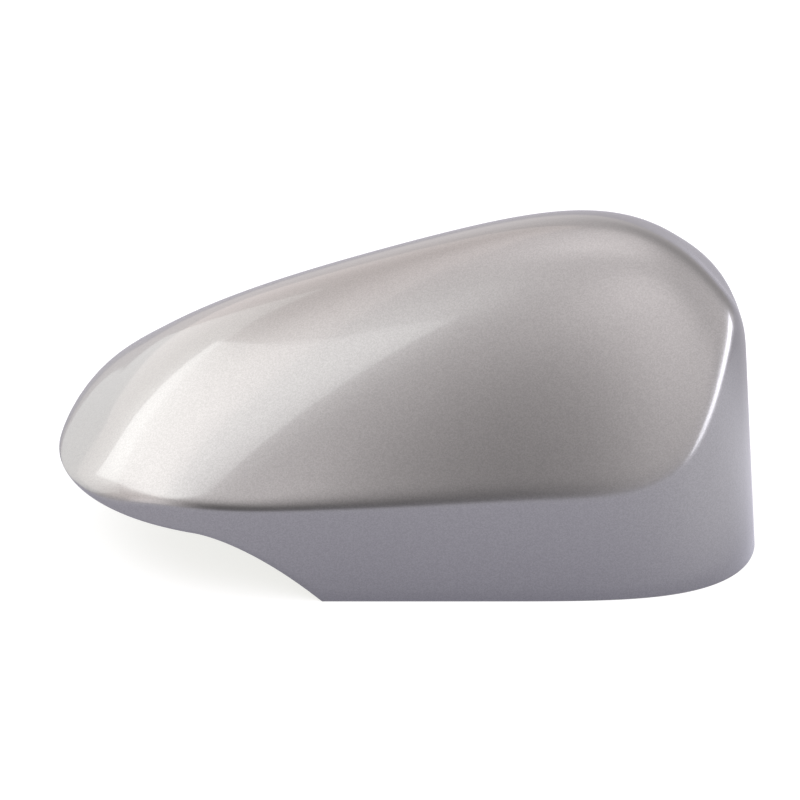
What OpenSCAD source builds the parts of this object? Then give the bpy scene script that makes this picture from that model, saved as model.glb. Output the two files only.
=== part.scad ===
// Wing mirror cover: one thin moulded shell that lies on its open rim with its outer face up.
// +X runs from the low nose to the deep end, +Y from the creased side to the rolled side, and +Z is up.
// The origin is the middle of the cover's length and width, on the plane that the rim rests on.

/* [Outline] */
// Length over the rim, from the nose tip to the deep end
cover_l = 220; // [200:1:240]
// Width from the middle line to the creased side
near_w = 65; // [58:0.5:72]
// Width from the middle line to the rolled side
far_w = 65; // [58:0.5:72]
// Length of the nose's taper, which its cut-out shares
nose_l = 84.5; // [76:0.5:92]
// Length of the deep end's curve
deep_l = 92.5; // [84:0.5:100]
// How far the nose tip lies from the middle line, towards the creased side
tip_y = 2.5; // [0:0.5:8]
// How far the deep end's furthest point lies from the middle line, towards the creased side
end_y = 18; // [10:0.5:26]

/* [Face] */
// Height of the face's crown over the rim plane
crown_h = 104; // [96:0.5:112]
// Slope of the skirt on the creased side, in degrees
near_draft = 1.2; // [0.5:0.1:2.5]
// Slope of the skirt round the deep end, in degrees
deep_draft = 4.9; // [3.5:0.1:6]
// Slope of the skirt on the rolled side and round the nose, in degrees
far_draft = 1.7; // [1:0.1:3]
// Reach of the crease's rounding on the creased side
crease_r = 3; // [2:0.1:5]
// Reach of the crease's rounding round the deep end
deep_r = 4; // [3:0.1:6]
// Reach of the roll on the far side
roll_r = 20; // [16:0.5:24]

/* [Rim] */
// Height of the rim at the nose tip
tip_h = 26; // [22:0.5:28]
// Height of the nose cut-out's flat part
cut_h = 21.5; // [18:0.5:24]
// Length of the cut-out's flat part, from the nose tip
cut_flat_l = 45; // [38:1:52]
// Thickness of the wall
wall_t = 2.5; // [2:0.1:3.2]
// Height of the lap step inside the rim
lap_h = 5; // [3:0.5:8]
// Depth of the lap step, out of the wall's thickness
lap_t = 0.9; // [0.5:0.1:1.2]

/* [Inside] */
// Thickness of a stiffening rib
rib_t = 1.6; // [1.2:0.1:2.4]
// Height of a stiffening rib below the wall
rib_h = 7; // [5:0.5:10]
// Distance between the ribs across the cover
rib_pitch = 38; // [34:1:40]
// Radius of a locating pin
pin_r = 3; // [2:0.1:4]
// Length of a locating pin below its boss
pin_l = 12; // [8:0.5:16]
// Radius of a pin's boss
boss_r = 5.5; // [5:0.1:7]
// How far a pin's boss hangs below the ribs
boss_drop = 2; // [1:0.5:4]
// Width of a snap hook
hook_w = 12; // [8:0.5:14]
// Length of a snap hook's arm
hook_l = 16; // [12:0.5:20]
// Thickness of a snap hook's arm
hook_t = 2; // [1.5:0.1:2.5]
// Gap between the skirt's wall and a snap hook's arm
hook_gap = 4; // [3:0.5:6]
// Height of a snap hook's foot above the lap step
hook_lift = 1; // [0.5:0.5:3]

/* [Hidden] */
paint = "silver";

half_l = cover_l / 2;
nose_x = nose_l - half_l;
deep_x = half_l - deep_l;
flat_x = cut_flat_l - half_l;
// Length of the nose in plan down to the rim plane, which the tip's skirt would reach without its cut-out
plan_nose_l = nose_l + tip_h * tan(far_draft);

// Guide values of the face, spread evenly from the nose tip to the deep end.
// Heights of the ridge, as shares of the crown's height
ridge_form = [0.28, 0.68, 0.77, 0.92, 0.92, 1.32, 0.62];
// Places of the ridge across the cover, as shares of the creased side's width
ridge_side = [0.35, -0.04, -0.24, -0.08, -0.47];
// Falls of the face over the creased side's width, as shares of the crown's height
near_fall = [0.21, 0.06, 0.57, 0.74, 1.22, 0.86, 2.33];
// Falls of the face over the rolled side's width, as shares of the crown's height
far_fall = [0.36, 0.385, 0.34, 0.37, 0.06];
// Distance over which the two falls merge at the ridge
ridge_mix = 0.12 * near_w;

// Powers that round the plan: along and across the nose, then along the deep end
nose_along = 3.55;
nose_across = 0.565;
deep_along = 4.4;
// Power of the curve by which the cut-out rises from its corner
cut_curve = 1.6;
// Reach of the nose's rounding down the skirt
nose_r = 2 * crease_r;
// Reach of the roundings over the face: creased side, nose, deep end, rolled side
face_reach = [1.2 * crease_r, 2.2 * nose_r, 1.1 * deep_r, 1.2 * roll_r];
// Largest share of the skirt's height that a rounding takes
skirt_share = 0.8;
// Share of the rounding's reach at which its inner guide points lie
hold = 0.55;
// Share of the length that the ridge's own points cover
ridge_share = 0.6;
// Depth of a rib's root inside the wall where the rib fades out
rib_root = 0.1;

// Stations round the plan in the nose, the straight part and the deep end
nose_n = 16;
mid_n = 6;
deep_n = 20;
side_n = nose_n + mid_n + deep_n;
ring_n = 2 * side_n;
// Crowding of the stations towards the straight part
crowd = 1.4;
// Steps up the rounding and over the face
round_n = 6;
face_n = 10;
col_n = 1 + round_n + face_n;

// Bezier curve through a list of guide values, at t from 0 to 1
function bezier(v, t) =
    len(v) == 1 ? v[0] : bezier([for (i = [0:len(v) - 2]) v[i] * (1 - t) + v[i + 1] * t], t);

// Smooth step from 0 at a to 1 at b
function ease(a, b, v) = let (t = min(max((v - a) / (b - a), 0), 1)) t * t * (3 - 2 * t);

function unit(v) = v / norm(v);

// Place along the cover as a share of its length
function share(x) = (x + half_l) / cover_l;

// Place of the ridge across the cover
function ridge_y(x) = near_w * bezier(ridge_side, share(x));

// Height of the face over a point of the plan, before the skirt trims it
function face_z(x, y) =
    let (
        t = share(x),
        d = y - ridge_y(x),
        far = 1 / (1 + exp(-d / ridge_mix)),
        near_drop = bezier(near_fall, t) * pow(d / near_w, 2),
        far_drop = bezier(far_fall, t) * pow(d / far_w, 2)
    ) crown_h * (bezier(ridge_form, t) - near_drop * (1 - far) - far_drop * far);

// Slope of the face over a point of the plan, along X and Y
function face_slope(x, y) =
    [face_z(x + 0.5, y) - face_z(x - 0.5, y), face_z(x, y + 0.5) - face_z(x, y - 0.5)];

// Outward normal of the face over a point of the plan
function face_normal(x, y) = let (s = face_slope(x, y)) unit([-s[0], -s[1], 1]);

// Height of the rim at a place along the cover
function rim_z(x) =
    let (t = min(max((x - flat_x) / (nose_x - flat_x), 0), 1))
    cut_h * (1 - pow(t, cut_curve)) + (tip_h - cut_h) * max(0, flat_x - x) / cut_flat_l;

// Plan of one side, from the nose tip to the deep end: [x, base y, share of the side's width]
side_plan = concat(
    [for (i = [0:nose_n - 1])
        let (a = 90 * pow(1 - i / nose_n, crowd))
        [nose_x - plan_nose_l * pow(sin(a), 2 / nose_along), -tip_y, pow(cos(a), 2 * nose_across)]],
    [for (i = [0:mid_n - 1]) [nose_x + (deep_x - nose_x) * i / mid_n, 0, 1]],
    [for (i = [0:deep_n])
        let (a = 90 * pow(i / deep_n, crowd))
        [deep_x + deep_l * pow(sin(a), 2 / deep_along), -end_y, cos(a)]]
);

// Index of a ring station on its side's plan
function side_i(j) = j <= side_n ? j : ring_n - j;

// Outline of the skirt at the rim plane, anticlockwise from the nose tip along the creased side
ring = [for (j = [0:ring_n - 1])
    let (p = side_plan[side_i(j)], w = j <= side_n ? -near_w : far_w)
    [p[0], p[1] + (w - p[1]) * p[2]]];

// Inward normal of the outline at a station
function inward(j) =
    let (d = unit(ring[(j + 1) % ring_n] - ring[(j + ring_n - 1) % ring_n])) [-d[1], d[0]];

// Value at a place on the outline, out of those of the creased side, nose, deep end and rolled side
function around(p, v) =
    let (
        a = v[0] + (v[1] - v[0]) * ease(-0.68 * half_l, -0.95 * half_l, p[0]),
        b = a + (v[2] - a) * ease(0.75 * half_l, 0.98 * half_l, p[0])
    ) b + (v[3] - b) * ease(-0.5 * far_w, 0.55 * far_w, p[1]);

// Skirt point of a station at a height: it moves inward as the skirt rises from the rim plane
function skirt(p, n, slope, z) = let (q = p + n * slope * z) [q[0], q[1], z];

// Height at which the skirt meets the face, found by repeated substitution
function meet_z(p, n, slope, z, tries) =
    let (q = skirt(p, n, slope, z))
    tries == 0 ? z : meet_z(p, n, slope, face_z(q[0], q[1]), tries - 1);

// Ridge point that a station's column ends at
ridge = [for (i = [0:side_n])
    let (x = side_plan[i][0] * ridge_share, y = ridge_y(x))
    [x, y, face_z(x, y)]];

// Column of outer points at a station: rim, rounding, then face, short of the ridge
function column(j) =
    let (
        p = ring[j],
        n = inward(j),
        slope = tan(around(p, [near_draft, far_draft, deep_draft, far_draft])),
        over = around(p, face_reach),
        meet = skirt(p, n, slope, meet_z(p, n, slope, crown_h / 2, 12)),
        top = ridge[side_i(j)],
        way = unit([top[0] - meet[0], top[1] - meet[1]]),
        q = [meet[0], meet[1]] + way * over,
        fall = way * face_slope(q[0], q[1]),
        end = [q[0], q[1], face_z(q[0], q[1])],
        lean = slope * (n * way),
        peak = skirt(p, n, slope, (end[2] - fall * (over + lean * meet[2])) / (1 - fall * lean)),
        down = min(around(p, [crease_r, nose_r, deep_r, roll_r]), skirt_share * (peak[2] - rim_z(p[0]))),
        start = skirt(p, n, slope, peak[2] - down),
        guides = [start, start + (peak - start) * hold, peak, end + (peak - end) * hold, end]
    ) concat(
        [skirt(p, n, slope, rim_z(p[0]))],
        [for (i = [0:round_n]) bezier(guides, i / round_n)],
        [for (i = [1:face_n - 1])
            let (x = end[0] + (top[0] - end[0]) * i / face_n, y = end[1] + (top[1] - end[1]) * i / face_n)
            [x, y, face_z(x, y)]]
    );

outer = [for (j = [0:ring_n - 1]) column(j)];

// Outward normal of an outer point, from its neighbours round and up the shell
function outer_normal(j, r) =
    let (
        round_way = outer[(j + 1) % ring_n][r] - outer[(j + ring_n - 1) % ring_n][r],
        above = r == col_n - 1 ? ridge[side_i(j)] : outer[j][r + 1]
    ) unit(cross(round_way, above - outer[j][r - 1]));

// Point inside the rim: a height over the rim and an inset from the outer face
function lap_point(j, z, inset) =
    let (
        p = outer[j][0],
        q = outer[j][1],
        n = inward(j),
        f = z / (q[2] - p[2]),
        w = p + (q - p) * f
    ) [w[0] + n[0] * inset, w[1] + n[1] * inset, w[2]];

// Column of inner points at a station: lap step, then the wall's inner face
function inner_column(j) =
    let (step = min(lap_h, 0.5 * (outer[j][1][2] - outer[j][0][2])))
    concat(
        [lap_point(j, 0, wall_t - lap_t), lap_point(j, step, wall_t - lap_t), lap_point(j, step, wall_t)],
        [for (r = [1:col_n - 1]) outer[j][r] - outer_normal(j, r) * wall_t]
    );

inner = [for (j = [0:ring_n - 1]) inner_column(j)];
in_n = col_n + 2;
under_ridge = [for (p = ridge) p - face_normal(p[0], p[1]) * wall_t];

// Two triangles of a four-sided patch
function patch(a, b, c, d) = [[a, b, c], [a, c, d]];

// Triangles of a grid of columns that closes on itself and ends at a ridge, from a first index
function skin(first, rows, turned) = [
    for (j = [0:ring_n - 1], r = [0:rows - 1])
        let (
            k = (j + 1) % ring_n,
            last = first + rows * ring_n,
            a = first + r * ring_n + j,
            b = first + r * ring_n + k,
            c = r == rows - 1 ? last + side_i(k) : first + (r + 1) * ring_n + k,
            d = r == rows - 1 ? last + side_i(j) : first + (r + 1) * ring_n + j
        ) each turned ? patch(a, d, c, b) : patch(a, b, c, d)
];

module shell() {
    outer_count = col_n * ring_n + side_n + 1;
    polyhedron(
        points = concat(
            [for (r = [0:col_n - 1], j = [0:ring_n - 1]) outer[j][r]], ridge,
            [for (r = [0:in_n - 1], j = [0:ring_n - 1]) inner[j][r]], under_ridge
        ),
        faces = concat(
            skin(0, col_n, true),
            skin(outer_count, in_n, false),
            [for (j = [0:ring_n - 1])
                let (k = (j + 1) % ring_n)
                each patch(j, k, outer_count + k, outer_count + j)]
        ),
        convexity = 8
    );
}

// Height of the wall's middle and of its inner face, plumb under the face
function wall_mid_z(x, y) = face_z(x, y) - 0.5 * wall_t / face_normal(x, y)[2];
function wall_in_z(x, y) = face_z(x, y) - wall_t / face_normal(x, y)[2];

// Outline of a rib that hangs from the wall between two points of the plan and fades out at both ends
function rib_outline(a, b, n) = concat(
    [for (i = [0:n])
        let (p = a + (b - a) * i / n)
        [norm(p - a), wall_mid_z(p[0], p[1])]],
    [for (i = [n:-1:0])
        let (p = a + (b - a) * i / n)
        let (root = wall_mid_z(p[0], p[1]) - rib_root, foot = wall_in_z(p[0], p[1]) - rib_h * sin(180 * i / n))
        [norm(p - a), min(root, foot)]]
);

module rib(a, b, n) {
    turn = atan2(b[1] - a[1], b[0] - a[0]);
    translate([a[0], a[1], 0]) rotate([0, 0, turn]) rotate([90, 0, 0])
        linear_extrude(rib_t, center = true) polygon(rib_outline(a, b, n));
}

cross_x = [-1.5 * rib_pitch, -0.5 * rib_pitch, 0.5 * rib_pitch, 1.5 * rib_pitch];
spine_y = [-0.12 * near_w, 0.36 * far_w];

module ribs() {
    for (x = cross_x) rib([x, -0.78 * near_w], [x, 0.52 * far_w], 14);
    for (y = spine_y) rib([-0.66 * half_l, y], [0.7 * half_l, y], 16);
}

// Boss and pin that hang where two ribs cross
module locating_pin(x, y) {
    boss_top = wall_in_z(x, y);
    boss_foot = boss_top - rib_h - boss_drop;
    translate([x, y, boss_foot]) cylinder(h = boss_top - boss_foot, r = boss_r, $fn = 48);
    translate([x, y, boss_foot - pin_l]) cylinder(h = pin_l + boss_drop, r = pin_r, $fn = 48);
}

pin_places = [[cross_x[1], spine_y[0]], [cross_x[3], spine_y[0]]];

module locating_pins() {
    for (p = pin_places) locating_pin(p[0], p[1]);
}

// Snap hook at a station: a bridge out of the skirt, an arm that hangs from it and a barb at its foot
module snap_hook(j) {
    p = ring[j];
    n = inward(j);
    lean = (outer[j][1] - outer[j][0]) * [n[0], n[1], 0] / (outer[j][1][2] - outer[j][0][2]);
    foot = lap_h + hook_lift;
    root = foot + hook_l;
    bridge_t = 1.25 * hook_t;
    back = root * lean + 0.5 * wall_t;
    arm = back + wall_t + hook_gap;
    barb = 1.1 * hook_t;
    web_h = 3 * bridge_t;
    translate([p[0], p[1], 0]) rotate([0, 0, atan2(n[1], n[0])]) rotate([90, 0, 0]) {
        linear_extrude(hook_w, center = true) polygon([
            [back, root], [back, root + bridge_t], [arm + hook_t, root + bridge_t],
            [arm + hook_t, foot + 2.6 * barb], [arm + hook_t + barb, foot + 1.6 * barb],
            [arm + hook_t, foot], [arm, foot], [arm, root]
        ]);
        linear_extrude(rib_t, center = true) polygon([
            [back, root + 0.5 * bridge_t], [back + web_h * lean, root + web_h],
            [arm + hook_t, root + 0.5 * bridge_t]
        ]);
    }
}

// Stations that carry a hook: on the creased side, at the deep end and on the rolled side
hook_stations = [
    nose_n + 1, nose_n + mid_n - 1, side_n - 13, side_n - 1,
    ring_n - nose_n - mid_n + 1, ring_n - nose_n - 1
];

module snap_hooks() {
    for (j = hook_stations) snap_hook(j);
}

module mirror_cover() {
    color(paint) union() {
        shell();
        ribs();
        locating_pins();
        snap_hooks();
    }
}

mirror_cover();
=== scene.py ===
"""Wing mirror cover in silver paint, lying on its rim on a pale floor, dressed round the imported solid."""
import math
import bpy
import numpy as np
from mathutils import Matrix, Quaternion, Vector


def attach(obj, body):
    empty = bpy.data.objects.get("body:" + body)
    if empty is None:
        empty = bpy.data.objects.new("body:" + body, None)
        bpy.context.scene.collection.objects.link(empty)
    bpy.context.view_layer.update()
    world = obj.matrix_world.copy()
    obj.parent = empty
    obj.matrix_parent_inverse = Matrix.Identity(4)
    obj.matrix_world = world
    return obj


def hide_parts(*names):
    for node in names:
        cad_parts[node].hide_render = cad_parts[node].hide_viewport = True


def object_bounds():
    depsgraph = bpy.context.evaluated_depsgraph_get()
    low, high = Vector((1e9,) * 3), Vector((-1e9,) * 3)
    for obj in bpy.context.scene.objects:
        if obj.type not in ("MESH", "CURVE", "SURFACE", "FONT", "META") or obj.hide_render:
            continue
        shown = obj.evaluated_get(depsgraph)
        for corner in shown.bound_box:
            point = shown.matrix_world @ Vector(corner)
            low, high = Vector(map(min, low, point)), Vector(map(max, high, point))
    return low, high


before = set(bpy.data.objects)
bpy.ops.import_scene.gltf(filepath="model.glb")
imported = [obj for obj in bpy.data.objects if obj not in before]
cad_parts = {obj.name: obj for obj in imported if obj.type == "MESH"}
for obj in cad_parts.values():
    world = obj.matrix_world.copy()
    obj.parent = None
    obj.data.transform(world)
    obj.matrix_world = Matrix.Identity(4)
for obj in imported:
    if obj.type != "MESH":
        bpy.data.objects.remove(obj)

CAD_BOX = [list(corner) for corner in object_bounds()]
MM = 0.001

# Sizes in millimetres, angles in degrees and guide values, the same as in the part's source
COVER_L, NEAR_W, FAR_W = 220.0, 65.0, 65.0
NOSE_L, DEEP_L = 84.5, 92.5
TIP_Y, END_Y = 2.5, 18.0
CROWN_H = 104.0
NEAR_DRAFT, DEEP_DRAFT, FAR_DRAFT = 1.2, 4.9, 1.7
CREASE_R, NOSE_R, ROLL_R = 3.0, 6.0, 20.0
TIP_H, CUT_H, CUT_FLAT_L, CUT_CURVE = 26.0, 21.5, 45.0, 1.6
WALL_T, LAP_H, LAP_T = 2.5, 5.0, 0.9
RIB_T, RIB_H, RIB_ROOT, RIB_PITCH = 1.6, 7.0, 0.1, 38.0
PIN_R, PIN_L, BOSS_R, BOSS_DROP = 3.0, 12.0, 5.5, 2.0
HOOK_W, HOOK_L, HOOK_T, HOOK_GAP, HOOK_LIFT = 12.0, 16.0, 2.0, 4.0, 1.0
NOSE_ALONG, NOSE_ACROSS, DEEP_ALONG = 3.55, 0.565, 4.4
RIDGE_FORM = (0.28, 0.68, 0.77, 0.92, 0.92, 1.32, 0.62)
RIDGE_SIDE = (0.35, -0.04, -0.24, -0.08, -0.47)
NEAR_FALL = (0.21, 0.06, 0.57, 0.74, 1.22, 0.86, 2.33)
FAR_FALL = (0.36, 0.385, 0.34, 0.37, 0.06)
RIDGE_MIX, SKIRT_SHARE, HOLD, RIDGE_SHARE = 0.12 * NEAR_W, 0.8, 0.55, 0.6

# Roundings of the scene alone: of the deep end, and at its furthest part down the skirt and over the face
DEEP_R, TIP_DOWN, TIP_OVER = 9.0, 14.0, 8.0
# Fillets and small roundings of the scene alone: rim edge, rib's root, pin's tip and root, boss and hook
EDGE_R, RIB_FILLET, PIN_TIP_R, PIN_ROOT_R, BOSS_EDGE_R, HOOK_EDGE = 0.35, 0.9, 0.9, 0.7, 0.5, 0.3

HALF_L = COVER_L / 2
NOSE_X, DEEP_X, FLAT_X = NOSE_L - HALF_L, HALF_L - DEEP_L, CUT_FLAT_L - HALF_L
PLAN_NOSE_L = NOSE_L + TIP_H * math.tan(math.radians(FAR_DRAFT))

# Where values round the plan pass over, along X to nose, deep end and its furthest part, along Y to the roll
TO_NOSE, TO_DEEP = (-0.68 * HALF_L, -0.95 * HALF_L), (0.75 * HALF_L, 0.98 * HALF_L)
TO_TIP, TO_ROLL = (0.93 * HALF_L, HALF_L), (-0.5 * FAR_W, 0.55 * FAR_W)
# Shares of the skirt's height that the rim's rounding and the lap may take, and of a radius to its middle
EDGE_SHARE, LAP_SHARE, ROUND_MIDDLE = 0.3, 0.5, 0.3

# The source's stations round the plan, each split into a few finer ones here
FINE = 4
NOSE_N, MID_N, DEEP_N = 16 * FINE, 6 * FINE, 20 * FINE
SIDE_N = NOSE_N + MID_N + DEEP_N
RING_N = 2 * SIDE_N
CROWD = 1.4
# Rows over skirt, rounding and face, up the lap and over its step, then points along ribs and round pins
SKIRT_N, ROUND_N, FACE_N, LAP_N, STEP_N = 8, 14, 44, 4, 3
CROSS_N, SPINE_N, TURN_N, ARC_N = 48, 64, 64, 7
# Rounds of work for the height where skirt and face meet, and the angle in degrees that shows as an edge
MEET_ROUNDS, SHARP_OVER = 12, 35.0
# What over_rim says outside and along the ridge inside, in place of a height
OUTSIDE, DEEP_INSIDE = -50.0, 50.0


def bezier(values, t):
    """Bezier curve through guide values: neighbours are blended at t until one value is left."""
    while len(values) > 1:
        values = [a * (1 - t) + b * t for a, b in zip(values, values[1:])]
    return values[0]


def ease(a, b, v):
    """Smooth step: 3t^2 - 2t^3, where t is the share of the way from a to b."""
    t = np.clip((v - a) / (b - a), 0, 1)
    return t * t * (3 - 2 * t)


def unit(v):
    """Vectors along the first axis, brought to length 1."""
    return v / np.sqrt((v * v).sum(0))


def ridge_y(x):
    """Place of the ridge across the cover: a Bezier curve along its length."""
    return NEAR_W * bezier(RIDGE_SIDE, (x + HALF_L) / COVER_L)


def face_z(x, y):
    """Height of the face: the ridge's height less a parabola of the distance from it, one for each side.

    The far side's share of the two is 1 / (1 + exp(-distance / RIDGE_MIX)), so they merge at the ridge.
    """
    t = (x + HALF_L) / COVER_L
    d = y - ridge_y(x)
    far = 1 / (1 + np.exp(-d / RIDGE_MIX))
    near_drop = bezier(NEAR_FALL, t) * (d / NEAR_W) ** 2
    far_drop = bezier(FAR_FALL, t) * (d / FAR_W) ** 2
    return CROWN_H * (bezier(RIDGE_FORM, t) - near_drop * (1 - far) - far_drop * far)


def face_slope(x, y):
    """Slope of the face along X and Y, by differences over 1 mm."""
    return face_z(x + 0.5, y) - face_z(x - 0.5, y), face_z(x, y + 0.5) - face_z(x, y - 0.5)


def face_normal(x, y):
    """Outward normal of the face: its two slopes turned over, and 1 upwards."""
    slope_x, slope_y = face_slope(x, y)
    return unit(np.array([-slope_x, -slope_y, np.ones_like(slope_x)]))


def rim_z(x):
    """Height of the rim: zero where straight, a power curve into the cut-out, a slight rise to the tip."""
    t = np.clip((x - FLAT_X) / (NOSE_X - FLAT_X), 0, 1)
    return CUT_H * (1 - t ** CUT_CURVE) + (TIP_H - CUT_H) * np.maximum(0, FLAT_X - x) / CUT_FLAT_L


def side_plan():
    """One side's plan, as x, base y and share of the side's width.

    The nose and the deep end are quarters of superellipses, and the middle between them is straight.
    """
    a = np.pi / 2 * (1 - np.arange(NOSE_N) / NOSE_N) ** CROWD
    nose = [NOSE_X - PLAN_NOSE_L * np.sin(a) ** (2 / NOSE_ALONG), np.full(NOSE_N, -TIP_Y)]
    nose.append(np.abs(np.cos(a)) ** (2 * NOSE_ACROSS))
    middle = [np.linspace(NOSE_X, DEEP_X, MID_N, endpoint=False), np.zeros(MID_N), np.ones(MID_N)]
    a = np.pi / 2 * (np.arange(DEEP_N + 1) / DEEP_N) ** CROWD
    deep = [DEEP_X + DEEP_L * np.sin(a) ** (2 / DEEP_ALONG), np.full(DEEP_N + 1, -END_Y), np.abs(np.cos(a))]
    return np.concatenate([nose, middle, deep], axis=1)


SIDE = side_plan()
STATION = np.arange(RING_N)
SIDE_I = np.where(STATION <= SIDE_N, STATION, RING_N - STATION)
WIDTH = np.where(STATION <= SIDE_N, -NEAR_W, FAR_W)
RING = np.array([SIDE[0][SIDE_I], SIDE[1][SIDE_I] + (WIDTH - SIDE[1][SIDE_I]) * SIDE[2][SIDE_I]])
ALONG = unit(np.roll(RING, -1, axis=1) - np.roll(RING, 1, axis=1))
INWARD = np.array([-ALONG[1], ALONG[0]])
RIM = rim_z(RING[0])


def around(creased, nose, deep, tip, rolled):
    """Value at each station, eased between creased side, nose, deep end, its furthest part and roll."""
    x, y = RING
    value = creased + (nose - creased) * ease(*TO_NOSE, x)
    value = value + (deep - value) * ease(*TO_DEEP, x)
    value = value + (tip - value) * ease(*TO_TIP, x)
    return value + (rolled - value) * ease(*TO_ROLL, y)


SLOPE = np.tan(np.radians(around(NEAR_DRAFT, FAR_DRAFT, DEEP_DRAFT, DEEP_DRAFT, FAR_DRAFT)))


def skirt(z, inset=0.0):
    """Skirt point of each station at a height: inward by the slope times the height, plus an inset."""
    x, y = RING + INWARD * (SLOPE * z + inset)
    return np.array([x, y, z * np.ones(RING_N)])


def outer_rows():
    """Rows from the skirt's edge to the ridge, with their normals.

    The rows climb the skirt, turn over a quartic Bezier curve and then follow the face.
    """
    z = np.full(RING_N, CROWN_H / 2)
    for _ in range(MEET_ROUNDS):
        z = face_z(*skirt(z)[:2])
    meet = skirt(z)
    top_x = SIDE[0][SIDE_I] * RIDGE_SHARE
    top_y = ridge_y(top_x)
    over = around(1.2 * CREASE_R, 2.2 * NOSE_R, DEEP_R, TIP_OVER, 1.2 * ROLL_R)
    way = unit(np.array([top_x, top_y]) - meet[:2])
    x, y = meet[:2] + way * over
    slope_x, slope_y = face_slope(x, y)
    fall = way[0] * slope_x + way[1] * slope_y
    end = np.array([x, y, face_z(x, y)])
    lean = SLOPE * (INWARD * way).sum(0)
    peak = skirt((end[2] - fall * (over + lean * meet[2])) / (1 - fall * lean))
    down = np.minimum(around(CREASE_R, NOSE_R, DEEP_R, TIP_DOWN, ROLL_R), SKIRT_SHARE * (peak[2] - RIM))
    start = skirt(peak[2] - down)
    edge = np.minimum(EDGE_R, EDGE_SHARE * (start[2] - RIM))
    guides = [start, start + (peak - start) * HOLD, peak, end + (peak - end) * HOLD, end]
    rows = [skirt(RIM + edge + (start[2] - RIM - edge) * step / SKIRT_N) for step in range(SKIRT_N)]
    rows += [bezier(guides, step / ROUND_N) for step in range(ROUND_N + 1)]
    curved = len(rows) - 1
    steps = np.arange(1, FACE_N + 1)[:, None] / FACE_N
    fx, fy = x + (top_x - x) * steps, y + (top_y - y) * steps
    rows = np.concatenate([np.array(rows), np.stack([fx, fy, face_z(fx, fy)], axis=1)])
    round_way = np.roll(rows, -1, axis=2) - np.roll(rows, 1, axis=2)
    normals = np.cross(round_way, np.gradient(rows, axis=0), axis=1)
    normals[:curved] /= np.linalg.norm(normals[:curved], axis=1, keepdims=True)
    flat = face_normal(rows[curved:, 0], rows[curved:, 1])
    normals[curved:] = np.moveaxis(flat, 0, 1)
    return rows, normals, edge, start[2]


def put_mesh(name, points, faces):
    """Mesh from points in millimetres and faces, shaded smooth where it turns by less than SHARP_OVER.

    A corner that comes twice in a face counts once.
    """
    mesh = bpy.data.meshes.new(name)
    corners = [list(dict.fromkeys(row)) for block in faces for row in np.asarray(block).tolist()]
    mesh.from_pydata((np.asarray(points, float) * MM).tolist(), [], corners)
    mesh.validate()
    mesh.polygons.foreach_set("use_smooth", np.ones(len(mesh.polygons), bool))
    mesh.set_sharp_from_angle(angle=math.radians(SHARP_OVER))
    piece = bpy.data.objects.new(name, mesh)
    bpy.context.scene.collection.objects.link(piece)
    return piece


def strip(lower, upper):
    """Quads between two rows of point numbers that run round a closed loop."""
    return np.stack([lower, np.roll(lower, -1), np.roll(upper, -1), upper], axis=1)


def shell_piece():
    """The moulded shell: outer rows, inner rows one wall further in, and rounded edges under the rim."""
    body, normals, edge, start_z = outer_rows()
    middle = ROUND_MIDDLE * edge
    lip = [skirt(RIM, edge), skirt(RIM + middle, middle)]
    outer = np.concatenate([np.array(lip), body])
    step = np.minimum(LAP_H, LAP_SHARE * (start_z - RIM))
    thin = WALL_T - LAP_T
    inner = [skirt(RIM, thin - edge), skirt(RIM + middle, thin - middle), skirt(RIM + edge, thin)]
    inner += [skirt(RIM + edge + (step - edge) * k / LAP_N, thin) for k in range(1, LAP_N + 1)]
    inner += [skirt(RIM + step, thin + LAP_T * k / STEP_N) for k in range(1, STEP_N + 1)]
    under = body[SKIRT_N:] - normals[SKIRT_N:] * WALL_T
    last = inner[-1]
    inner += [last + (under[0] - last) * k / SKIRT_N for k in range(1, SKIRT_N)]
    inner = np.concatenate([np.array(inner), under])
    points, numbers, start = [], [], 0
    for rows in (outer, inner):
        count = (len(rows) - 1) * RING_N
        points += [rows[:-1].transpose(0, 2, 1).reshape(-1, 3), rows[-1][:, 1:SIDE_N].T]
        numbers.append([start + r * RING_N + STATION for r in range(len(rows) - 1)])
        numbers[-1].append(start + count + np.clip(SIDE_I, 1, SIDE_N - 1) - 1)
        start += count + SIDE_N - 1
    faces = [strip(a, b) for a, b in zip(numbers[0], numbers[0][1:])]
    faces += [strip(a, b)[:, ::-1] for a, b in zip(numbers[1], numbers[1][1:])]
    faces.append(strip(numbers[1][0], numbers[0][0]))
    low, high = np.array(CAD_BOX) / MM
    piece = put_mesh("painted_shell", np.clip(np.concatenate(points), low, high), faces)
    inside_count = len(points[2]) + len(points[3])
    over_rim = points[2][:, 2] - np.tile(RIM, len(inner) - 1)
    inside = [np.full(start - inside_count, OUTSIDE), over_rim, np.full(SIDE_N - 1, DEEP_INSIDE)]
    attribute = piece.data.attributes.new("over_rim", "FLOAT", "POINT")
    attribute.data.foreach_set("value", np.concatenate(inside).astype(np.float32))
    return piece


def joined(parts):
    """Points and faces of several closed solids as one, each turned outward by the sign of its volume."""
    points, faces, start = [], [], 0
    for part_points, part_faces in parts:
        volume = 0.0
        for block in part_faces:
            for k in range(1, block.shape[1] - 1):
                a, b, c = (part_points[block[:, i]] for i in (0, k, k + 1))
                volume += (a * np.cross(b, c)).sum()
        faces += [(block if volume > 0 else block[:, ::-1]) + start for block in part_faces]
        points.append(part_points)
        start += len(part_points)
    return np.concatenate(points), faces


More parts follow.
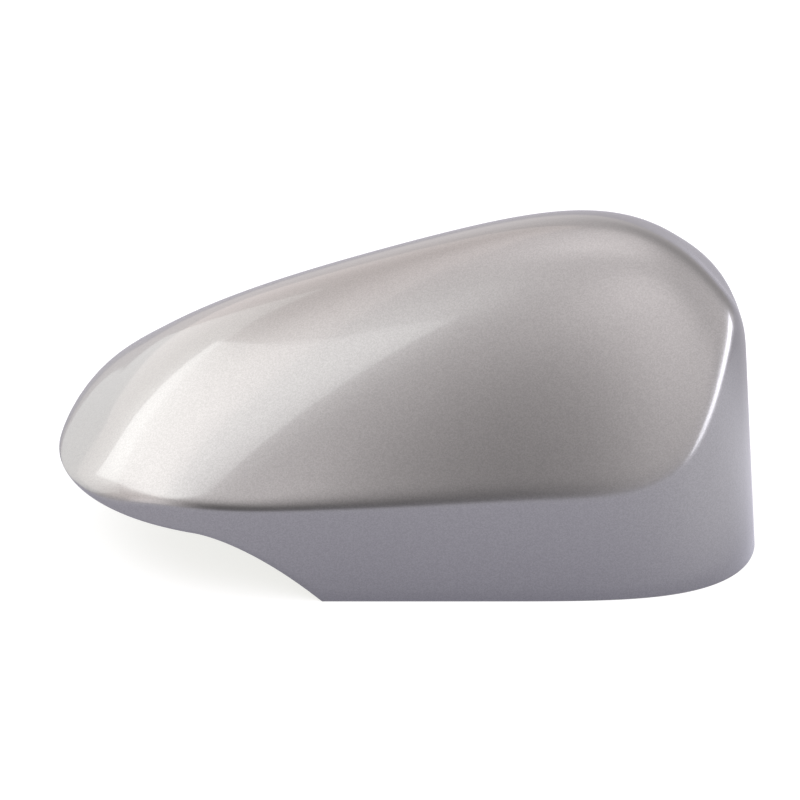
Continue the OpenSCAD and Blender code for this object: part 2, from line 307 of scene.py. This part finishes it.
def swept(sections):
    """Solid through a row of sections that are closed loops, its two ends closed by quads across them."""
    n, m = sections.shape[:2]
    numbers = np.arange(n * m).reshape(n, m)
    faces = [strip(a, b) for a, b in zip(numbers, numbers[1:])]
    k = np.arange(m // 2 - 1)
    for row, turn in ((numbers[0], 1), (numbers[-1], -1)):
        faces.append(np.stack([row[k], row[m - 1 - k], row[m - 2 - k], row[k + 1]], axis=1)[:, ::turn])
    return sections.reshape(-1, 3), faces


def wall_z(x, y, share_of_wall):
    """Height inside the wall, plumb under the face, at a share of its thickness from the outer side."""
    return face_z(x, y) - share_of_wall * WALL_T / face_normal(x, y)[2]


def turned(profile, x, y):
    """Solid turned from a profile of radius and height about an upright line.

    Its last ring follows the wall at half the wall's thickness.
    """
    n = TURN_N
    angle = np.arange(n) * 2 * np.pi / n
    radius, height = np.array(profile, float).T
    ring_x, ring_y = x + radius[:, None] * np.cos(angle), y + radius[:, None] * np.sin(angle)
    rings = np.stack([ring_x, ring_y, height[:, None] + 0 * angle], axis=2)
    rings[-1, :, 2] = wall_z(rings[-1, :, 0], rings[-1, :, 1], 0.5)
    ends = np.array([[x, y, height[0]], [x, y, rings[-1, :, 2].mean()]])
    numbers = np.arange(len(profile) * n).reshape(-1, n)
    faces = [strip(a, b) for a, b in zip(numbers, numbers[1:])]
    low, high = numbers[0], numbers[-1]
    faces.append(np.stack([np.full(n, numbers.size), np.roll(low, -1), low], axis=1))
    faces.append(np.stack([np.full(n, numbers.size + 1), high, np.roll(high, -1)], axis=1))
    return np.concatenate([rings.reshape(-1, 3), ends]), faces


def rib(a, b, n):
    """Rib between two points of the plan, whose foot hangs by a half sine wave under the wall.

    Fillets widen its root.
    """
    t = np.linspace(0, 1, n)
    a, b = np.array(a, float), np.array(b, float)
    x, y = a[:, None] + (b - a)[:, None] * t
    side = np.array([-(b - a)[1], (b - a)[0]]) / np.linalg.norm(b - a)
    root, mid = wall_z(x, y, 1.0), wall_z(x, y, 0.5)
    foot = np.minimum(mid - RIB_ROOT, root - RIB_H * np.sin(np.pi * t))
    fillet = np.clip(0.4 * (root - foot), 0.0, RIB_FILLET)
    half = RIB_T / 2
    # One side of the section, from the wall's middle: the root, a fillet, the flat side and the foot
    heights = [mid, root - 0.02, root - 0.35 * fillet, root - fillet, foot + 0.45 * fillet, foot]
    widths = [half + fillet, half + fillet, half + 0.35 * fillet]
    widths += [np.full(n, half), np.full(n, 0.9 * half), np.full(n, 0.5 * half)]
    heights, widths = heights + heights[::-1], widths + [-w for w in widths[::-1]]
    lines = [np.stack([x + side[0] * w, y + side[1] * w, h], axis=1) for w, h in zip(widths, heights)]
    return swept(np.stack(lines, axis=1))


CROSS_X = [-1.5 * RIB_PITCH, -0.5 * RIB_PITCH, 0.5 * RIB_PITCH, 1.5 * RIB_PITCH]
SPINE_Y = [-0.12 * NEAR_W, 0.36 * FAR_W]
CROSS_FROM, CROSS_TO = -0.78 * NEAR_W, 0.52 * FAR_W
SPINE_FROM, SPINE_TO = -0.66 * HALF_L, 0.7 * HALF_L


def ribs_piece():
    """Four ribs across the cover and two along it."""
    parts = [rib((x, CROSS_FROM), (x, CROSS_TO), CROSS_N) for x in CROSS_X]
    parts += [rib((SPINE_FROM, y), (SPINE_TO, y), SPINE_N) for y in SPINE_Y]
    return put_mesh("stiffening_ribs", *joined(parts))


def locating_pins_piece():
    """Two pins on bosses where ribs cross, with a fillet at the pin's root and a rounded tip."""
    parts = []
    for x in (CROSS_X[1], CROSS_X[3]):
        y = SPINE_Y[0]
        top = float(wall_z(np.array(x), np.array(y), 1.0))
        foot = top - RIB_H - BOSS_DROP
        tip = foot - PIN_L
        a = np.linspace(0, np.pi / 2, ARC_N)
        r = PIN_TIP_R
        round_tip = np.stack([PIN_R - r + r * np.sin(a), tip + r - r * np.cos(a)], axis=1)
        r = PIN_ROOT_R
        root = np.stack([PIN_R + r - r * np.cos(a), foot - r + r * np.sin(a)], axis=1)
        r = BOSS_EDGE_R
        shoulder = np.stack([BOSS_R - r + r * np.sin(a), foot + r - r * np.cos(a)], axis=1)
        parts.append(turned(np.concatenate([round_tip, root, shoulder, [[BOSS_R, top]]]), x, y))
    return put_mesh("locating_pins", *joined(parts))


def prism(outline, width, j):
    """Outline of inset and height at a station, made a solid of that width along the rim."""
    outline = np.array(outline, float)
    n = len(outline)
    base = RING[:, j] + INWARD[:, j] * outline[:, :1]
    ends = (-width / 2, width / 2)
    points = [np.column_stack([base + ALONG[:, j] * end, outline[:, 1]]) for end in ends]
    k = np.arange(n)
    faces = [strip(k, k + n), k[None, ::-1], (k + n)[None, :]]
    return np.concatenate(points), faces


def snap_hooks_piece():
    """Six hooks: a bridge out of the skirt, a barbed arm that hangs from it, and a web over the bridge.

    Three sit on the creased side, one at the deep end and two on the rolled side, as in the source.
    """
    parts = []
    nose_n, mid_n, side_n = (count // FINE for count in (NOSE_N, MID_N, SIDE_N))
    places = [nose_n + 1, nose_n + mid_n - 1, side_n - 13, side_n - 1]
    places += [2 * side_n - nose_n - mid_n + 1, 2 * side_n - nose_n - 1]
    for j in [FINE * place for place in places]:
        lean, foot = SLOPE[j], LAP_H + HOOK_LIFT
        root, bridge, barb = foot + HOOK_L, 1.25 * HOOK_T, 1.1 * HOOK_T
        back = root * lean + 0.5 * WALL_T
        arm = back + WALL_T + HOOK_GAP
        web = 3 * bridge
        out = arm + HOOK_T
        hook = [(back, root), (back, root + bridge), (out, root + bridge), (out, foot + 2.6 * barb)]
        hook += [(out + barb, foot + 1.6 * barb), (out, foot), (arm, foot), (arm, root)]
        stay = [(back, root + 0.5 * bridge), (back + web * lean, root + web), (out, root + 0.5 * bridge)]
        parts += [prism(hook, HOOK_W, j), prism(stay, RIB_T, j)]
    piece = put_mesh("snap_hooks", *joined(parts))
    bevel = piece.modifiers.new("soft_edges", "BEVEL")
    bevel.width, bevel.segments, bevel.limit_method = HOOK_EDGE * MM, 2, "ANGLE"
    return piece


class Value:
    """A number socket on which sums are written as Python expressions."""

    def __init__(self, nodes, socket):
        self.nodes, self.socket = nodes, socket

    def _math(self, operation, first, second):
        return self.nodes.node("ShaderNodeMath", {"operation": operation}, {0: first, 1: second})

    def __add__(self, other):
        return self._math("ADD", self, other)

    def __radd__(self, other):
        return self._math("ADD", other, self)

    def __sub__(self, other):
        return self._math("SUBTRACT", self, other)

    def __rsub__(self, other):
        return self._math("SUBTRACT", other, self)

    def __mul__(self, other):
        return self._math("MULTIPLY", self, other)

    def __rmul__(self, other):
        return self._math("MULTIPLY", other, self)


class Finish:
    """The nodes of a material or of the world."""

    def __init__(self, owner):
        self.owner = owner
        owner.use_nodes = True
        self.tree = owner.node_tree
        self.tree.nodes.clear()

    def node(self, kind, settings=None, sockets=None, out=0):
        """Adds a node: its settings, then its sockets' values or links. Gives the output asked for."""
        made = self.tree.nodes.new(kind)
        for key, value in (settings or {}).items():
            setattr(made, key, value)
        for key, value in (sockets or {}).items():
            if isinstance(value, Value):
                self.tree.links.new(value.socket, made.inputs[key])
            else:
                made.inputs[key].default_value = value
        return Value(self, made.outputs[out]) if len(made.outputs) else None

    def smooth(self, value, low, high):
        """Smooth step of a value from 0 at low to 1 at high."""
        sockets = {"Value": value, "From Min": low, "From Max": high}
        return self.node("ShaderNodeMapRange", {"interpolation_type": "SMOOTHSTEP"}, sockets)

    def mix(self, share_of_b, a, b):
        """Blend of two colours."""
        return self.node("ShaderNodeMix", {"data_type": "RGBA"}, {"Factor": share_of_b, 6: a, 7: b}, 2)

    def noise(self, coords, size, detail=2.0):
        """Noise whose features measure about size millimetres."""
        sockets = {"Vector": coords, "Scale": 1 / (size * MM), "Detail": detail}
        return self.node("ShaderNodeTexNoise", {}, sockets, "Fac")

    def bump(self, height, depth, normal=None):
        """Bump whose height of 0 to 1 stands for a depth in millimetres, over another normal or none."""
        sockets = {"Height": height, "Distance": depth * MM, "Strength": 1.0}
        return self.node("ShaderNodeBump", {}, sockets if normal is None else {**sockets, "Normal": normal})

    def ray(self, kind):
        """1 for rays of a kind, such as Camera or Glossy, and 0 for the others."""
        return self.node("ShaderNodeLightPath", out=f"Is {kind} Ray")

    def close(self, **sockets):
        """Puts the main shader on the material, with its sockets by their names."""
        named = {key.replace("_", " "): value for key, value in sockets.items()}
        shader = self.node("ShaderNodeBsdfPrincipled", {}, named)
        self.node("ShaderNodeOutputMaterial", {}, {"Surface": shader})
        return self.owner


SILVER_DARK, SILVER_PALE = (0.27, 0.267, 0.266, 1.0), (0.335, 0.331, 0.329, 1.0)
PLASTIC_DARK, PLASTIC_PALE = (0.05, 0.051, 0.053, 1.0), (0.075, 0.076, 0.079, 1.0)
# Flake size, then heights over the rim inside: where the paint starts to thin, has ended, and how ragged
FLAKE, SPRAY_FROM, SPRAY_TO, SPRAY_RAGGED = 0.32, 2.4, 5.6, 2.4


def moulded_grey(f, coords):
    """Colour of the bare plastic, which varies with a fine noise."""
    return f.mix(f.noise(coords, 0.8, 3.0), PLASTIC_DARK, PLASTIC_PALE)


def silver_paint():
    """Silver base coat with flakes under clear coat, and bare plastic inside, past a ragged spray edge."""
    f = Finish(bpy.data.materials.new("silver_paint"))
    coords = f.node("ShaderNodeTexCoord", out="Object")
    over_rim = f.node("ShaderNodeAttribute", {"attribute_name": "over_rim"}, out="Fac")
    bare = f.smooth(over_rim + f.noise(coords, 2.0, 3.0) * SPRAY_RAGGED, SPRAY_FROM, SPRAY_TO)
    cells = f.node("ShaderNodeTexVoronoi", {}, {"Vector": coords, "Scale": 1 / (FLAKE * MM)}, "Color")
    flake = f.node("ShaderNodeSeparateColor", {}, {"Color": cells}, "Red")
    paint = f.mix(flake * 0.8 + f.noise(coords, 45.0) * 0.2, SILVER_DARK, SILVER_PALE)
    height = flake * 0.35 * (1 - bare) + f.noise(coords, 0.5) * 1.2 * bare
    return f.close(
        Base_Color=f.mix(bare, paint, moulded_grey(f, coords)),
        Metallic=(1 - bare) * 0.9,
        Roughness=0.29 + bare * 0.26 + f.noise(coords, 20.0) * 0.03,
        Coat_Weight=1 - bare,
        Coat_Roughness=0.06,
        Coat_IOR=1.5,
        Normal=f.bump(height, 0.012, f.bump(f.noise(coords, 2.6, 1.0), 0.012)),
    )


def grey_plastic():
    """Bare moulded plastic: dark grey, with a fine grain and slight changes of gloss."""
    f = Finish(bpy.data.materials.new("grey_plastic"))
    coords = f.node("ShaderNodeTexCoord", out="Object")
    return f.close(
        Base_Color=moulded_grey(f, coords),
        Roughness=0.53 + f.noise(coords, 12.0) * 0.08,
        Normal=f.bump(f.noise(coords, 0.5), 0.014),
    )


# The floor's matte colour, half its width in millimetres and its points each way
FLOOR_COLOUR, FLOOR_HALF, FLOOR_N = (0.3, 0.303, 0.34, 1), 3000, 24
# What it gives off to the camera, and to reflections near the cover, a hand away, to its right and behind
# it: in reflections the glow is lower near the cover and behind it, a painted shade, and higher to its
# right, a painted light that the deep end reflects
CAMERA_LIFT, NEAR_SHADE_GLOW, FAR_LIFT = (0.8, 0.8, 0.77, 1), (0.26, 0.26, 0.33, 1), (0.45, 0.45, 0.52, 1)
RIGHT_LIGHT_GLOW, BACK_SHADE_GLOW = (0.58, 0.58, 0.62, 1), (0.08, 0.08, 0.08, 1)
# Where one gives way to the next: reach from near to far and far off, and metres to the right and the back
TO_FAR, FAR_OFF, TO_RIGHT, TO_BACK = (1.0, 3.0), (4.0, 9.0), (0.05, 0.2), (0.0, 0.15)


def floor_piece():
    """Pale floor that keeps the cover's shadow, lifted to white for the camera and in part for reflections.

    Reach is the distance from the middle, in half lengths and half widths of the cover. What reflections see
    is painted light
    and shade: a dimmer glow near the cover as its painted shade, a brighter one to its right as painted
    light, and where reach is large, a floor as dark as behind the cover.
    """
    n = FLOOR_N
    grid = np.linspace(-FLOOR_HALF, FLOOR_HALF, n)
    x, y = np.meshgrid(grid, grid, indexing="ij")
    i = np.arange(n * n).reshape(n, n)
    quads = np.stack([i[:-1, :-1], i[1:, :-1], i[1:, 1:], i[:-1, 1:]], axis=-1).reshape(-1, 4)
    piece = put_mesh("floor", np.stack([x.ravel(), y.ravel(), np.zeros(x.size)], axis=1), [quads])
    f = Finish(bpy.data.materials.new("pale_floor"))
    coords = f.node("ShaderNodeTexCoord", out="Object")
    scale = (1 / (HALF_L * MM), 1 / (NEAR_W * MM), 0)
    spread = f.node("ShaderNodeVectorMath", {"operation": "MULTIPLY"}, {0: coords, 1: scale}, 0)
    reach = f.node("ShaderNodeVectorMath", {"operation": "LENGTH"}, {0: spread}, "Value")
    x_place, y_place = (f.node("ShaderNodeSeparateXYZ", {}, {0: coords}, axis) for axis in "XY")
    # Glow for reflections only: dimmer near the cover as painted shade, brighter to its right as painted
    # light, dim behind it and far off as painted shade
    lift = f.mix(f.smooth(reach, *TO_FAR), NEAR_SHADE_GLOW, FAR_LIFT)
    lift = f.mix(f.smooth(x_place, *TO_RIGHT), lift, RIGHT_LIGHT_GLOW)
    lift = f.mix(f.smooth(y_place, *TO_BACK), lift, BACK_SHADE_GLOW)
    lift = f.mix(f.smooth(reach, *FAR_OFF), lift, BACK_SHADE_GLOW)
    lift = f.mix(f.ray("Glossy") + f.ray("Transmission"), (0, 0, 0, 1), lift)
    lift = f.mix(f.ray("Camera"), lift, CAMERA_LIFT)
    glow = f.node("ShaderNodeEmission", {}, {"Color": lift, "Strength": 1.0})
    matte = f.node("ShaderNodeBsdfDiffuse", {}, {"Color": FLOOR_COLOUR})
    both = f.node("ShaderNodeAddShader", {}, {0: glow, 1: matte})
    f.node("ShaderNodeOutputMaterial", {}, {"Surface": both})
    piece.data.materials.append(f.owner)


def way_to(azimuth, elevation):
    """Direction from the cover: azimuth runs from the camera's side to the right."""
    a, e = math.radians(azimuth), math.radians(elevation)
    return Vector((math.sin(a) * math.cos(e), -math.cos(a) * math.cos(e), math.sin(e)))


def softbox(name, azimuth, elevation, width, height, radiance, colour, roll):
    """Rectangular lamp that faces the cover from a direction, turned in its plane by roll."""
    lamp = bpy.data.lights.new(name, "AREA")
    lamp.shape = "RECTANGLE"
    lamp.size, lamp.size_y = width, height
    lamp.energy = radiance * math.pi * width * height
    lamp.color = colour
    way = way_to(azimuth, elevation)
    holder = bpy.data.objects.new(name, lamp)
    holder.location = LAMP_AIM + way * LAMP_AWAY
    turn = way.to_track_quat("Z", "Y") @ Quaternion((0, 0, 1), math.radians(roll))
    holder.rotation_euler = turn.to_euler()
    holder.visible_camera = False
    bpy.context.scene.collection.objects.link(holder)


# Lamps at one distance from a point in the cover: azimuth, elevation, width, height, radiance, colour, roll
LAMP_AIM, LAMP_AWAY = Vector((0, 0, 0.05)), 1.3
LAMPS = [
    ("left_box", -114, 38, 3.1, 1.3, 0.52, (1.0, 0.86, 0.8), -2.0),
    ("left_core_box", -92, 45, 1.9, 0.55, 1.75, (0.97, 1.0, 0.985), 21.0),
    ("back_left_box", -125, 15, 1.3, 0.8, 0.6, (0.93, 1.0, 0.98), -18.0),
    ("right_box", 79, 6, 2.1, 0.38, 4.0, (0.91, 0.91, 1.0), 6.0),
]
ROOM, ROOM_COLOUR = 0.86, (1.0, 0.945, 0.95)
# Patches of the room: azimuth, elevation, cosines where each starts and is full, and its change of level
PATCHES = [
    (-15, 10, 0.83, 0.98, -0.86),
    (-50, 8, 0.85, 1.0, 1.0),
    (18, 38, 0.86, 1.0, 0.8),
    (0, 72, 0.8, 1.0, 0.5),
    (180, 72, 0.8, 1.0, 0.8),
    (85, 38, 0.8, 1.0, 0.3),
    (150, 8, 0.8, 1.0, -0.4),
    (215, 38, 0.8, 1.0, -0.3),
]


def studio():
    """Softboxes round the cover in a pale room with dark and bright patches, white to the camera."""
    for lamp in LAMPS:
        softbox(*lamp)
    f = Finish(bpy.data.worlds.new("studio"))
    way = f.node("ShaderNodeTexCoord", out="Generated")
    level = ROOM
    for azimuth, elevation, start, full, change in PATCHES:
        sockets = {0: way, 1: way_to(azimuth, elevation)}
        facing = f.node("ShaderNodeVectorMath", {"operation": "DOT_PRODUCT"}, sockets, "Value")
        level = f.smooth(facing, start, full) * change + level
    room = f.node("ShaderNodeVectorMath", {"operation": "SCALE"}, {0: ROOM_COLOUR, "Scale": level})
    colour = f.mix(f.ray("Camera"), room, (1, 1, 1, 1))
    background = f.node("ShaderNodeBackground", {}, {"Color": colour, "Strength": 1.0})
    f.node("ShaderNodeOutputWorld", {}, {"Surface": background})
    bpy.context.scene.world = f.owner


# Where the camera aims in millimetres, its angle over the level, and its lens and sensor, for the scale
AIM, CAMERA_TILT, LENS_MM, SENSOR_MM = (-1.9, 0.0, 39.6), 22.0, 142.0, 36.0


def camera():
    """Camera 1 m away from its aim, in front of the creased side."""
    lens = bpy.data.cameras.new("camera")
    lens.sensor_width = SENSOR_MM
    lens.lens = LENS_MM
    lens.clip_end = 20
    holder = bpy.data.objects.new("camera", lens)
    e = math.radians(CAMERA_TILT)
    way = Vector((0, -math.cos(e), math.sin(e)))
    holder.location = Vector(AIM) * MM + way
    holder.rotation_euler = way.to_track_quat("Z", "Y").to_euler()
    bpy.context.scene.collection.objects.link(holder)
    bpy.context.scene.camera = holder


shell = shell_piece()
shell.data.materials.append(silver_paint())
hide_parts("mirror_cover")
plastic = grey_plastic()
for piece in (ribs_piece(), locating_pins_piece(), snap_hooks_piece()):
    piece.data.materials.append(plastic)
    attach(piece, "root")
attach(shell, "root")
floor_piece()
studio()
camera()
bpy.context.scene.view_settings.view_transform = "Standard"
